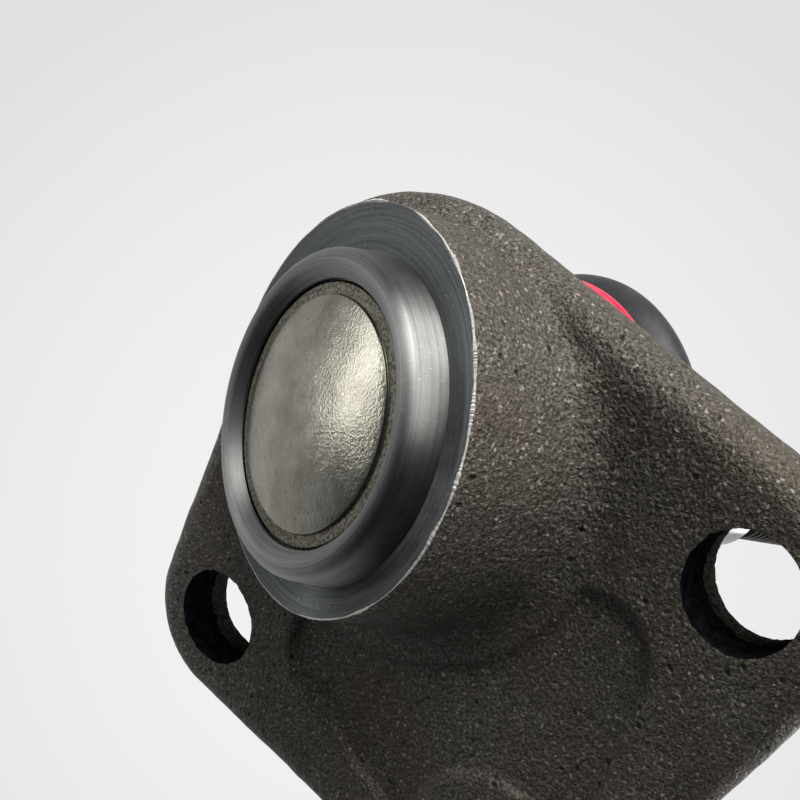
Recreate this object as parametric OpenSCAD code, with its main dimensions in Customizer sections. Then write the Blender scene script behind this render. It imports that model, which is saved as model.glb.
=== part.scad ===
// Suspension ball joint with an inclined three-bolt flange.
// Origin at the centre of the ball, +Z along the stud, millimetres.

/* [Ball and stud] */
// Diameter of the ball
ball_d = 27; // [25:0.5:28]
// Diameter of the waist between the ball and the boot seat
waist_d = 14.6; // [12:0.2:15]
// Diameter of the cylinder that the boot seals on, also the big end of the taper
seat_d = 17; // [16.5:0.25:19]
// Height of the big end of the taper above the ball centre
taper_z = 31; // [30:0.5:36]
// Length of the taper
taper_len = 20; // [16:1:26]
// Taper ratio, length for each unit of diameter
taper_ratio = 8; // [8:1:12]
// Nominal diameter of the thread
thread_d = 12; // [10:1:13]
// Length of the thread
thread_len = 18; // [15:1:24]
// Diameter of the cotter hole through the thread
pin_hole_d = 3.3; // [2.4:0.1:3.6]
// Largest swing on each of the two axes, degrees
swing = 18; // [12:1:18]

/* [Housing] */
// Depth of the ball centre below the outer face of the end cap
cap_depth = 17; // [16.5:0.25:18.5]
// Height of the end cap's face above the machined shoulder
lip_rise = 3.5; // [3:0.25:4.5]
// Outer diameter of the rolled lip
lip_d = 35.8; // [34.6:0.2:37]
// Diameter of the end cap left in view inside the lip
cap_view_d = 28.6; // [26:0.2:29.4]
// Diameter of the cast boss where the shoulder cuts it
boss_d = 44.6; // [42:0.2:47]
// Draft of the cast boss on each side, degrees
boss_draft = 2.5; // [1:0.5:4]
// Radius of the cast fillet between boss and flange
boss_fillet = 5; // [3:0.5:7]
// How far the cast boss stands off the stud axis, towards the low side of the flange
boss_offset = 1.3; // [0:0.1:2]
// Diameter of the neck on the stud side
neck_d = 41; // [40:0.5:44]
// Height of the neck's end face above the ball centre
neck_z = 15.8; // [15.4:0.2:17]

/* [Flange] */
// Lean of the flange against the stud axis, degrees
lean = 20.5; // [10:0.5:24]
// Direction that the stud side of the flange leans towards, degrees
lean_dir = -125; // [-180:5:180]
// Distance from the ball centre down to the cap side of the flange
flange_drop = 4.3; // [3:0.1:6]
// Thickness of the flange
flange_t = 8; // [7:0.25:10]
// Diameter of the bolt holes
hole_d = 12.5; // [8.5:0.5:13.5]
// Distance between the two outer bolt holes
hole_pitch = 73; // [68:0.5:84]
// Distance from the stud axis to the line of the two outer holes
row_y = 19.8; // [16:0.2:26]
// Distance from the stud axis to the third bolt hole
third_y = 50; // [46:0.5:56]
// Diameter of the lobes around the bolt holes
lobe_d = 24.6; // [22:0.2:30]
// Radius of the cast rounding on the cap side edge of the flange
edge_r = 3.5; // [1.5:0.25:4]
// Radius of the cast rounding on the stud side edge of the flange
back_r = 3.5; // [0.5:0.25:3.75]
// Draft of the lobes towards the stud side, on the radius
lobe_draft = 0.9; // [0:0.1:1.5]
// Depth of the shallow recess cast in the flange
pocket_depth = 0.9; // [0.4:0.1:1.5]

/* [End cap and bearing] */
// Outer diameter of the end cap
cap_d = 31.6; // [31.2:0.2:32.6]
// Thickness of the end cap
cap_t = 2.2; // [1.8:0.1:2.6]
// Diameter of the raised disc in the end cap
disc_d = 24; // [20:0.5:25]
// Step at the edge of the raised disc
disc_step = 0.4; // [0.2:0.1:0.8]
// Rise of the raised disc from its edge to its middle
disc_rise = 0.9; // [0.4:0.1:1]
// Wall of the two bearing shells at the ball's equator
shell_wall = 1.45; // [1.2:0.05:1.6]
// Thickness of the disc spring under the lower seat
spring_t = 0.9; // [0.7:0.1:1.1]

/* [Boot and rings] */
// Largest diameter of the dust boot
boot_d = 44.8; // [42:0.2:46]
// Wall of the dust boot
boot_wall = 1.7; // [1.3:0.1:2]
// Height of the boot's collar
collar_h = 4.6; // [4:0.2:5.4]
// Wire diameter of the two-turn ring at the boot's base
ring_wire = 1.4; // [1.2:0.1:1.6]
// Wire diameter of the ring at the boot's collar
collar_wire = 1.2; // [1:0.1:1.4]

/* [Hidden] */
$fn = 96;
hull_fn = 32;
past = 60;

// Clearances between the pieces, on the radius
ball_gap = 0.05;
shell_gap = 0.05;
cap_gap = 0.1;
seat_gap = 0.05;
rubber_gap = 0.03;
mouth_gap = 0.35;

// Ball, bearing bore and end cap seat
ball_r = ball_d / 2;
socket_r = ball_r + ball_gap;
shell_r = socket_r + shell_wall;
bore_r = shell_r + shell_gap;
cap_r = cap_d / 2;
disc_r = disc_d / 2;
cap_in_z = -cap_depth + cap_t;
shoulder_z = -cap_depth + lip_rise;
dome_r = (disc_r * disc_r + disc_rise * disc_rise) / (2 * disc_rise);
dome_z = dome_r - disc_step - disc_rise;

// Lower seat and the disc spring under it
spring_room = 2.7;
lower_end_z = cap_in_z + spring_room;
ball_flat_z = lower_end_z - 0.5;
seat_hole_r = 7.2;
spring_in_r = 7;
spring_out_r = shell_r - 0.5;
spring_play = 0.02;
split_z = 0.15;

// Rolled lip: a round crest that overhangs the edge of the end cap
lip_r = lip_d / 2;
lip_in_r = cap_view_d / 2;
crest_r = (lip_r + lip_in_r) / 2 - 0.35;
lip_round = lip_r - crest_r;
crest_drop = 0.6;

// Mouth of the socket, wide enough for both swings at once
mouth_a = acos(cos(swing) * cos(swing)) + 1;
waist_r = waist_d / 2;
lap_a = asin(waist_r / ball_r) + mouth_a + 1;
shell_top_z = socket_r * cos(lap_a) + 2.1;
function mouth_r(z) = waist_r / cos(mouth_a) + z * tan(mouth_a) + mouth_gap;

// Neck on the stud side with its groove for the boot
neck_r = neck_d / 2;
skirt_r = neck_r + 2.5;
groove_w = 3.6;
groove_top_z = neck_z - 1.4;
groove_low_z = groove_top_z - groove_w;
groove_r = max(mouth_r(groove_top_z) + 1.5, neck_r - 3.5);
rim_r = groove_r + 1.6;
rim_round = 0.5;
spot_r = boot_d / 2 + 2.4;

// Boot base, retaining ring, collar and collar ring
boot_belly_r = boot_d / 2;
base_r = rim_r + 1.1;
ring_r = base_r + ring_wire / 2 + 0.02;
ring_pitch = ring_wire * 0.97;
seat_r = seat_d / 2;
collar_top_z = taper_z - 0.6;
collar_z = collar_top_z - collar_h;
collar_r = seat_r + 2.6;
collar_groove = 0.6;
collar_ring_r = collar_r - collar_groove + collar_wire / 2 + 0.02;
boot_low_z = groove_top_z - 0.1;
boot_top_z = collar_z + 1.6;
boot_n = 26;
belly_at = 0.26;

// Stud
round_r = 1;
round_z = sqrt(pow(ball_r + round_r, 2) - pow(waist_r + round_r, 2));
ball_share = ball_r / (ball_r + round_r);
cone_z = neck_z + 4.4;
taper_top_z = taper_z + taper_len;
taper_end_r = seat_r - taper_len / taper_ratio / 2;
thread_r = thread_d / 2;
relief = 1;
tip_bevel = 1.2;
end_z = taper_top_z + thread_len;
pin_hole_z = end_z - 4.2;

// Flange
holes = [[-hole_pitch / 2, row_y], [hole_pitch / 2, row_y], [0, third_y]];
lobe_r = lobe_d / 2;
boss_r = boss_d / 2;
lean_xy = [cos(lean_dir), sin(lean_dir)];
boss_at = boss_offset * lean_xy;
web_at = boss_at + 1.9 * lean_xy;
web_r = boss_r + 1.3;
boss_top_z = -flange_drop + (boss_r + boss_offset) * tan(lean) + flange_t;
function boss_wall(z) = boss_r + (z - shoulder_z) * tan(boss_draft);

// Recess between the boss and the third hole
pocket_r = 6.6;
pocket_x = 0.6;
pocket_ends = [[pocket_x - hole_pitch / 4, row_y + 5.7], [pocket_x + hole_pitch / 4, row_y + 5.7],
               [pocket_x, third_y + 4]];
hole_land = 4.5;

// Frame of the flange: z = 0 is its cap side face, z = flange_t its stud side face
module flange_frame() {
    translate([0, 0, -flange_drop])
        rotate([0, 0, lean_dir])
            rotate([0, lean, 0])
                rotate([0, 0, -lean_dir])
                    children();
}

// Thin slabs of the flange outline at height z, drawn in by d and at the lobes by l more
module flange_slab(z, d, l = 0) {
    translate([0, 0, z]) {
        for (p = holes)
            translate(p) cylinder(r = lobe_r - d - l, h = 0.01, $fn = hull_fn);
        translate(web_at) cylinder(r = web_r - d, h = 0.01, $fn = hull_fn * 2);
    }
}

module flange_plate() {
    top = flange_t - 0.01;
    hull() {
        for (a = [0 : 22.5 : 90])
            flange_slab(edge_r * (1 - sin(a)), edge_r * (1 - cos(a)));
        for (a = [0 : 22.5 : 90])
            flange_slab(top - back_r * (1 - sin(a)), back_r * (1 - cos(a)), lobe_draft);
    }
}

// Core of the cast boss, from the shoulder up into the flange
module boss_core() {
    intersection() {
        translate([boss_at[0], boss_at[1], shoulder_z]) cylinder(r = boss_r - 1, h = boss_top_z - shoulder_z);
        flange_frame() translate([0, 0, flange_t - 0.5 - past]) cylinder(r = past, h = past);
    }
}

// Room for the fillet: distance from the boss axis to the flange outline at azimuth a, the least of
// the distances to the outline's tangents
outline = [for (p = concat(holes, [web_at])) [p[0], p[1], p == web_at ? web_r : lobe_r]];
function tangent(b) = max([for (c = outline) c[0] * cos(b) + c[1] * sin(b) + c[2]]);
function along(a, b) =
    cos(a - lean_dir) * cos(b - lean_dir) / cos(lean) + sin(a - lean_dir) * sin(b - lean_dir);
function reach(a) = min([for (b = [0 : 5 : 355]) if (along(a, b) > 0.2)
    (tangent(b) - boss_offset / cos(lean) * cos(b - lean_dir)) / along(a, b)]);

// Wall of the cast boss with its draft and the cast fillet along its oblique foot. In the section
// at azimuth a, the flange face is a line of slope face_m(a), and the arc touches both that line and
// the wall, and ends just inside the flange. Where the flange is narrow, the arc is smaller and ends
// on the flange's rounded edge.
foot_n = 72;
arc_n = 6;
foot_k = arc_n + 5;
foot_in = 2;
foot_up = 1.5;
foot_sink = 0.1;
least_fillet = 1;
function face_m(a) = -tan(lean) * cos(a - lean_dir);
function face_z(a, r) = -flange_drop - tan(lean) * boss_offset + face_m(a) * r;
function edge_fall(d) = d < edge_r ? edge_r - sqrt(edge_r * edge_r - pow(edge_r - max(d, 0), 2)) : 0;
function foot_section(a) =
    let (m = face_m(a), q = sqrt(1 + m * m), turn = atan(m) - 90)
    let (room = reach(a) - boss_wall(face_z(a, boss_r)))
    let (fillet = min(boss_fillet, max(least_fillet, room - edge_r)))
    let (fall = edge_fall(room - fillet) / cos(lean), wall = boss_wall(face_z(a, boss_r) - fillet))
    let (rc = wall + fillet, zc = face_z(a, rc) + fall + foot_sink - fillet * q, low = shoulder_z - 6)
    concat(
        [[boss_r - foot_in, low], [boss_wall(low), low]],
        [for (i = [0 : arc_n]) let (t = 180 + turn * i / arc_n)
            [rc, zc] + fillet * [cos(t), sin(t)]],
        [[rc - fillet * m / q, zc + fillet / q + foot_up],
            [boss_r - foot_in, face_z(a, boss_r - foot_in) + foot_up]]
    );
function foot_point(a, p) = [boss_at[0] + p[0] * cos(a), boss_at[1] + p[0] * sin(a), p[1]];
function foot_index(j, i) = (j % foot_n) * foot_k + i % foot_k;

module boss_wall_and_foot() {
    points = [for (j = [0 : foot_n - 1]) let (a = j * 360 / foot_n)
        for (p = foot_section(a)) foot_point(a, p)];
    faces = [for (j = [0 : foot_n - 1]) for (i = [0 : foot_k - 1])
        for (f = [[foot_index(j, i), foot_index(j, i + 1), foot_index(j + 1, i + 1)],
                  [foot_index(j, i), foot_index(j + 1, i + 1), foot_index(j + 1, i)]]) f];
    polyhedron(points, faces);
}

// Rounded triangle recess in the cap side face of the flange, clear of the boss and the third hole
module pocket_outline() {
    difference() {
        union() {
            polygon(pocket_ends);
            for (i = [0 : 2]) {
                a = pocket_ends[i];
                b = pocket_ends[(i + 1) % 3];
                translate(a) circle(r = pocket_r);
                translate(a) rotate(atan2(b[1] - a[1], b[0] - a[0]))
                    translate([0, -pocket_r]) square([norm(b - a), 2 * pocket_r]);
            }
        }
        translate([0, third_y]) circle(r = hole_d / 2 + hole_land);
        translate(boss_at) circle(r = boss_r + boss_fillet + 0.5);
    }
}

// Section of the lip: straight at the shoulder, rounded over and rolled in onto the end cap
module lip_section() {
    translate([0, -cap_depth]) intersection() {
        union() {
            translate([crest_r, crest_drop]) circle(r = lip_round);
            translate([crest_r - lip_round, crest_drop])
                square([2 * lip_round, lip_rise - crest_drop + 0.01]);
        }
        translate([lip_in_r, -lip_round]) square([lip_r, lip_rise + lip_round + 0.01]);
    }
}

// Neck on the stud side: a skirt off the flange, the groove for the boot and the rim over it
module neck_body() {
    intersection() {
        rotate_extrude() polygon([
            [0, -16], [skirt_r, -16], [skirt_r, -4], [neck_r, groove_low_z - 3],
            [neck_r, groove_low_z - 1], [neck_r - 1, groove_low_z],
            [groove_r, groove_low_z], [groove_r, groove_top_z], [rim_r, groove_top_z],
            [rim_r, neck_z - rim_round], [rim_r - rim_round, neck_z], [0, neck_z]
        ]);
        flange_frame() translate([0, 0, 3]) cylinder(r = past, h = past);
    }
}

// What is cast and then faced: flange, boss and fillet, with the recess and the bolt holes
module cast_body() {
    difference() {
        union() {
            flange_frame() flange_plate();
            boss_core();
            boss_wall_and_foot();
        }
        // facing cut that leaves the shoulder
        translate([0, 0, shoulder_z - past]) cylinder(r = past, h = past);
        flange_frame() translate([0, 0, -2]) linear_extrude(2 + pocket_depth) pocket_outline();
        // spot face for the boot on the stud side
        translate([0, 0, groove_low_z - 0.3]) cylinder(r = spot_r, h = past);
        flange_frame()
            for (p = holes) translate([p[0], p[1], -past / 2]) cylinder(d = hole_d, h = past);
    }
}

module housing() {
    color([0.29, 0.28, 0.27]) difference() {
        union() {
            cast_body();
            neck_body();
            rotate_extrude() lip_section();
        }
        // bearing bore, end cap seat and mouth
        translate([0, 0, cap_in_z]) cylinder(r = bore_r, h = shell_top_z + seat_gap - cap_in_z);
        translate([0, 0, -cap_depth]) cylinder(r = cap_r + cap_gap, h = cap_t);
        rotate_extrude()
            polygon([[0, 0], [mouth_r(0), 0], [mouth_r(neck_z + 1), neck_z + 1], [0, neck_z + 1]]);
    }
}

module end_cap() {
    color([0.55, 0.53, 0.49]) translate([0, 0, -cap_depth]) difference() {
        union() {
            cylinder(r = cap_r, h = cap_t - seat_gap);
            translate([0, 0, -disc_step]) cylinder(r = disc_r, h = disc_step + 0.5);
            intersection() {
                translate([0, 0, dome_z]) sphere(r = dome_r, $fn = 180);
                translate([0, 0, -2.5]) cylinder(r = disc_r, h = 3);
            }
        }
        // inside of the pressing, which follows the outside
        intersection() {
            translate([0, 0, dome_z + cap_t]) sphere(r = dome_r, $fn = 180);
            translate([0, 0, cap_t - 2.5]) cylinder(r = disc_r - 1, h = 4);
        }
    }
}

// Disc spring: its rim stands on the end cap, its inner edge carries the lower seat
module disc_spring() {
    low = cap_in_z + spring_play;
    high = lower_end_z - spring_play;
    color([0.45, 0.46, 0.48]) rotate_extrude() polygon([
        [spring_out_r, low], [spring_out_r, low + spring_t],
        [spring_in_r, high], [spring_in_r, high - spring_t]
    ]);
}

module lower_seat() {
    color([0.86, 0.85, 0.8]) difference() {
        rotate_extrude() polygon([
            [0, lower_end_z], [shell_r - 2, lower_end_z], [shell_r, lower_end_z + 2],
            [shell_r, -split_z], [0, -split_z]
        ]);
        sphere(r = socket_r);
        translate([0, 0, -ball_r - 2]) cylinder(r = seat_hole_r, h = ball_r);
        // grease grooves
        for (a = [0 : 60 : 300]) rotate([0, 0, a])
            translate([socket_r - 0.35, 0, lower_end_z - 1]) cylinder(d = 1.6, h = past, $fn = 24);
    }
}

module upper_shell() {
    lip = 0.05;
    top = shell_top_z + 1;
    color([0.86, 0.85, 0.8]) difference() {
        translate([0, 0, split_z]) cylinder(r = shell_r, h = shell_top_z - split_z);
        sphere(r = socket_r);
        rotate_extrude() polygon([[0, 0], [mouth_r(0) - lip, 0], [mouth_r(top) - lip, top], [0, top]]);
    }
}

module ball_stud() {
    color([0.7, 0.7, 0.71]) difference() {
        union() {
            sphere(r = ball_r);
            rotate_extrude() polygon([
                [0, 5], [waist_r, 5], [waist_r, cone_z], [seat_r, max(cone_z, collar_z - 1.6)],
                [seat_r, taper_z], [taper_end_r, taper_top_z], [thread_r - relief, taper_top_z],
                [thread_r - relief, taper_top_z + relief], [thread_r, taper_top_z + 2 * relief],
                [thread_r, end_z - tip_bevel], [thread_r - tip_bevel, end_z], [0, end_z]
            ]);
            // round from the ball into the waist, which touches both
            rotate_extrude() difference() {
                polygon([
                    [0, round_z * ball_share], [(waist_r + round_r) * ball_share, round_z * ball_share],
                    [waist_r + round_r, round_z], [0, round_z]
                ]);
                translate([waist_r + round_r, round_z]) circle(r = round_r);
            }
        }
        // flat under the ball with its centre mark
        translate([0, 0, ball_flat_z - past]) cylinder(r = ball_r, h = past);
        translate([0, 0, ball_flat_z - 0.01]) cylinder(r1 = 2, r2 = 0.2, h = 1.8, $fn = 48);
        translate([-thread_d, 0, pin_hole_z]) rotate([0, 90, 0])
            cylinder(d = pin_hole_d, h = 2 * thread_d, $fn = 48);
    }
}

// Middle line of the boot wall from the base, t = 0, over the belly to the collar, t = 1
function boot_mid(t) =
    let (s = t < 0.75 ? t / 0.75 * 0.82 : 0.82 + (t - 0.75) / 0.25 * 0.18)
    let (r0 = base_r - boot_wall / 2, rm = boot_belly_r - boot_wall / 2, r1 = collar_r - boot_wall / 2)
    let (up = s < belly_at ? sin(s / belly_at * 90) : 1 - pow((s - belly_at) / (1 - belly_at), 1.5))
    [s < belly_at ? r0 + (rm - r0) * up : r1 + (rm - r1) * up,
        boot_low_z + (boot_top_z - boot_low_z) * s];
function boot_step(t) = boot_mid(min(t + 0.01, 1)) - boot_mid(max(t - 0.01, 0));
function boot_side(t) = let (d = boot_step(t) / norm(boot_step(t))) [d[1], -d[0]] * boot_wall / 2;

module dust_boot() {
    outside = [for (i = [0 : boot_n]) boot_mid(i / boot_n) + boot_side(i / boot_n)];
    inside = [for (i = [boot_n : -1 : 0]) boot_mid(i / boot_n) - boot_side(i / boot_n)];
    base_low_z = groove_low_z + 0.05;
    color([0.08, 0.08, 0.09]) rotate_extrude() difference() {
        union() {
            polygon(concat(outside, inside));
            // base in the groove of the neck, hooked under its rim
            polygon([
                [groove_r + seat_gap, base_low_z], [base_r, base_low_z],
                [base_r, boot_low_z + 0.6], [groove_r + seat_gap, boot_low_z + 0.6]
            ]);
            // collar on the stud, with the groove of its ring
            polygon([
                [seat_r + rubber_gap, collar_z], [collar_r, collar_z], [collar_r, boot_top_z + 0.4],
                [collar_r - collar_groove, boot_top_z + 0.9], [collar_r - collar_groove, collar_top_z - 1],
                [collar_r, collar_top_z - 0.7], [collar_r, collar_top_z],
                [seat_r + rubber_gap, collar_top_z]
            ]);
        }
        // room for the rim of the neck
        polygon([
            [0, boot_low_z], [rim_r + seat_gap, boot_low_z], [rim_r + seat_gap, neck_z - rim_round],
            [rim_r - rim_round + seat_gap, neck_z + seat_gap], [0, neck_z + seat_gap]
        ]);
    }
}

// Wire ring of two close turns around the boot's base
module boot_base_ring() {
    color([0.85, 0.08, 0.16]) translate([0, 0, (groove_low_z + boot_low_z) / 2 + 0.1]) rotate_extrude()
        for (side = [-0.5, 0.5]) translate([ring_r, side * ring_pitch]) circle(d = ring_wire, $fn = 32);
}

module boot_collar_ring() {
    color([0.3, 0.3, 0.31]) translate([0, 0, (boot_top_z + collar_top_z - 0.1) / 2])
        rotate_extrude() translate([collar_ring_r, 0]) circle(d = collar_wire, $fn = 24);
}

housing();
end_cap();
disc_spring();
lower_seat();
upper_shell();
ball_stud();
dust_boot();
boot_base_ring();
boot_collar_ring();
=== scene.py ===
"""Looks of the suspension ball joint: cast housing, rolled lip, end cap, stud, rubber boot and its rings.

Metres, in the frame of the solids: origin at the centre of the ball, +Z along the stud.
Lengths that follow a drawing are written in millimetres and turned to metres by MM.
"""

import math
import random

import bmesh
import bpy
from mathutils import Matrix, Vector, noise


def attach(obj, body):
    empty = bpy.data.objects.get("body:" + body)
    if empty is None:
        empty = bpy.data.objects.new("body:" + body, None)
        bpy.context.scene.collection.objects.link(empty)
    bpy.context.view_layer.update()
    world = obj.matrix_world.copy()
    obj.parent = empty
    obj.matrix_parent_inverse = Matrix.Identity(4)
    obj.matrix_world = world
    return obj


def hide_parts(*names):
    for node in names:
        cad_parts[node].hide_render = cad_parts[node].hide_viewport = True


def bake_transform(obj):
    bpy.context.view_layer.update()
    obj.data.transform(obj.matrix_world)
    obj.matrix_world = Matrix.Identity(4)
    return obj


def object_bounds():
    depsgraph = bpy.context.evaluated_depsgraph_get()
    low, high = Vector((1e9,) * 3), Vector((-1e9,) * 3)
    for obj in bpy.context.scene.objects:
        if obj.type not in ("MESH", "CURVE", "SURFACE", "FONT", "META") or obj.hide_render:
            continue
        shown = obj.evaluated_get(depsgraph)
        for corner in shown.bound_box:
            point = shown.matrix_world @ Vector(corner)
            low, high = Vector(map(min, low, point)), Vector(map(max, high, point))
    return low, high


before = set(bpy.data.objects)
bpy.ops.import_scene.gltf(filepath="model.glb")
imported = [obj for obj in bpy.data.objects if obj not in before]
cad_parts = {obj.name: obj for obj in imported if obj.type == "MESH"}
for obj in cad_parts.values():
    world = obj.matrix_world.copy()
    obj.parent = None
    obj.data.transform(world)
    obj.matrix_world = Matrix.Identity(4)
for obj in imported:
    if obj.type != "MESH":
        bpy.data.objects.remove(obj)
cad_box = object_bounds()
scene = bpy.context.scene
MM = 0.001

# Sizes of the solids, in millimetres
BALL_R = 13.5
BALL_FLAT_Z = -12.6
SHOULDER_Z = -13.5
CAP_FACE_Z = -17.0
CAP_INNER_Z = -14.8
CAP_R = 15.8
BORE_R = 15.05
LIP_R = 17.9
LIP_INNER_R = 14.3
BOSS_AT = Vector((-0.746, -1.065))
BOSS_R = 22.3
BOSS_DRAFT = math.tan(math.radians(2.5))
FLANGE_LEAN = math.radians(20.5)
FLANGE_TURN = math.radians(-125)
FLANGE_DROP = 4.3
FLANGE_T = 8.0
BOLT_HOLES = [(-36.5, 19.8), (36.5, 19.8), (0, 50)]
BOLT_HOLE_R = 6.25
LOBE_R = 12.3
WEB_AT = (-1.836, -2.621)
WEB_R = 23.6
SPOT_Z = 10.5
SPOT_R = 24.8
GROOVE_R = 17.09
GROOVE_LOW_Z = 10.8
GROOVE_TOP_Z = 14.4
RIM_R = 18.69
NECK_R = 20.5
NECK_Z = 15.8
BOOT_WALL = 1.7
BOOT_BASE_R = 19.79
BOOT_BELLY_R = 22.4
BOOT_LOW_Z = 14.3
BOOT_TOP_Z = 27.4
COLLAR_R = 11.1
COLLAR_Z = 25.8
COLLAR_TOP_Z = 30.4
SEAT_R = 8.5
THREAD_R = 6.0
THREAD_PITCH = 1.25
THREAD_LOW_Z = 52.2
STUD_END_Z = 69.0
COTTER_HOLE_Z = 64.8
COTTER_HOLE_R = 1.65
WAIST_R = 7.3
WAIST_FILLET = 1
TAPER_LOW_Z = 31
TAPER_END_Z = 51
TAPER_END_R = 7.25
MOUTH_R_AT_BALL = 8.489
MOUTH_SLOPE = 0.493

# Sizes drawn otherwise than in the solids, by up to 0.6 mm: the cap's rim and disc, and the lip's section
RIM_FACE_Z = -16.7
DISC_R = 12.6
DOME_R = 66.0
DOME_RISE = 1.3
DOME_EDGE_R = 12.3
LIP_FOOT_Z = -13.2
LIP_CREST_R = 16.1
LIP_CREST_Z = -16.7
LIP_ROUND = 1.45
LIP_LEAN = math.radians(8)

# Casting: laps and reaches of the helpers that make its skin whole, and where each finish begins
FLANGE_BACK_FROM = 2.5
FLANGE_ROUND = 3.5
SKIN_LAP = 0.02
HOLE_PLUG_R = 7.2
HOLE_PLUG_H = 4
BOSS_SKIN_TOP_Z = -12
BOSS_SKIN_LOW_Z = -17
BOSS_SKIN_IN_R = 17.5
CUTTER_R = 60
CUTTER_LOW_Z = -40
CUTTER_HIGH_Z = 60
SWELL_FROM_R = 18.5
CLEAN_DRILLED = 5.0
FACE_TOLERANCE = 0.01
HOLE_REACH = 0.5
TORN_FROM_R = BOLT_HOLE_R + 0.09
TORN_FROM_Z = 3
BURR_FROM_R = 20
CAST, FACED, DRILLED, TORN = range(4)

# Boot: its widest place along the wall, its parting line and the faint rib there
BELLY_AT = 0.26
BOOT_SPLIT_Z = 22.0
RIB_WIDE = 0.16
RIB_HIGH = 0.07

# Edges sharper than this are drawn sharp
CREASE = math.radians(38)
# Gap between the floor and the lowest point of the solids, in metres
FLOOR_GAP = 0.0002

# Camera: long lens from below, at the photograph's angle, the stud pointing away from it
photo_camera = bpy.data.objects.new("photo_camera", bpy.data.cameras.new("photo_camera"))
scene.collection.objects.link(photo_camera)
view_right = Vector((0.6211, -0.0397, 0.7827))
view_down = Vector((-0.0525, 0.9944, 0.0921))
view_ahead = Vector((-0.7820, -0.0983, 0.6155))
photo_camera.matrix_world = Matrix.Translation((0.11016, 0.02693, -0.09135)) @ Matrix(
    (view_right, -view_down, -view_ahead)).transposed().to_4x4()
photo_camera.data.sensor_width = 36
photo_camera.data.lens = 58.03
photo_camera.data.shift_y = 0.1875
photo_camera.data.clip_start = 0.01
scene.camera = photo_camera
scene.view_settings.view_transform = "Standard"


# Materials

def linear(hex_colour):
    """sRGB hex, as in "8c8a80", to the linear colour that a socket takes."""
    parts = [int(hex_colour[i:i + 2], 16) / 255 for i in (0, 2, 4)]
    return [c / 12.92 if c <= 0.04045 else ((c + 0.055) / 1.055) ** 2.4 for c in parts] + [1]


def add(tree, kind, inputs, **settings):
    """Adds a node: settings are its own fields, inputs are values or the outputs that feed it."""
    node = tree.nodes.new(kind)
    for name, value in settings.items():
        setattr(node, name, value)
    for name, value in inputs.items():
        if isinstance(value, bpy.types.NodeSocket):
            tree.links.new(value, node.inputs[name])
        else:
            node.inputs[name].default_value = value
    return node


def new_material(name):
    """A material with an empty node tree, its output, and places on the piece in millimetres."""
    material = bpy.data.materials.new(name)
    material.use_nodes = True
    tree = material.node_tree
    tree.nodes.clear()
    output = tree.nodes.new("ShaderNodeOutputMaterial")
    place = add(tree, "ShaderNodeTexCoord", {})
    in_mm = add(tree, "ShaderNodeVectorMath", {
        0: place.outputs["Object"], "Scale": 1 / MM}, operation="SCALE")
    return material, tree, output, in_mm.outputs["Vector"]


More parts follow.
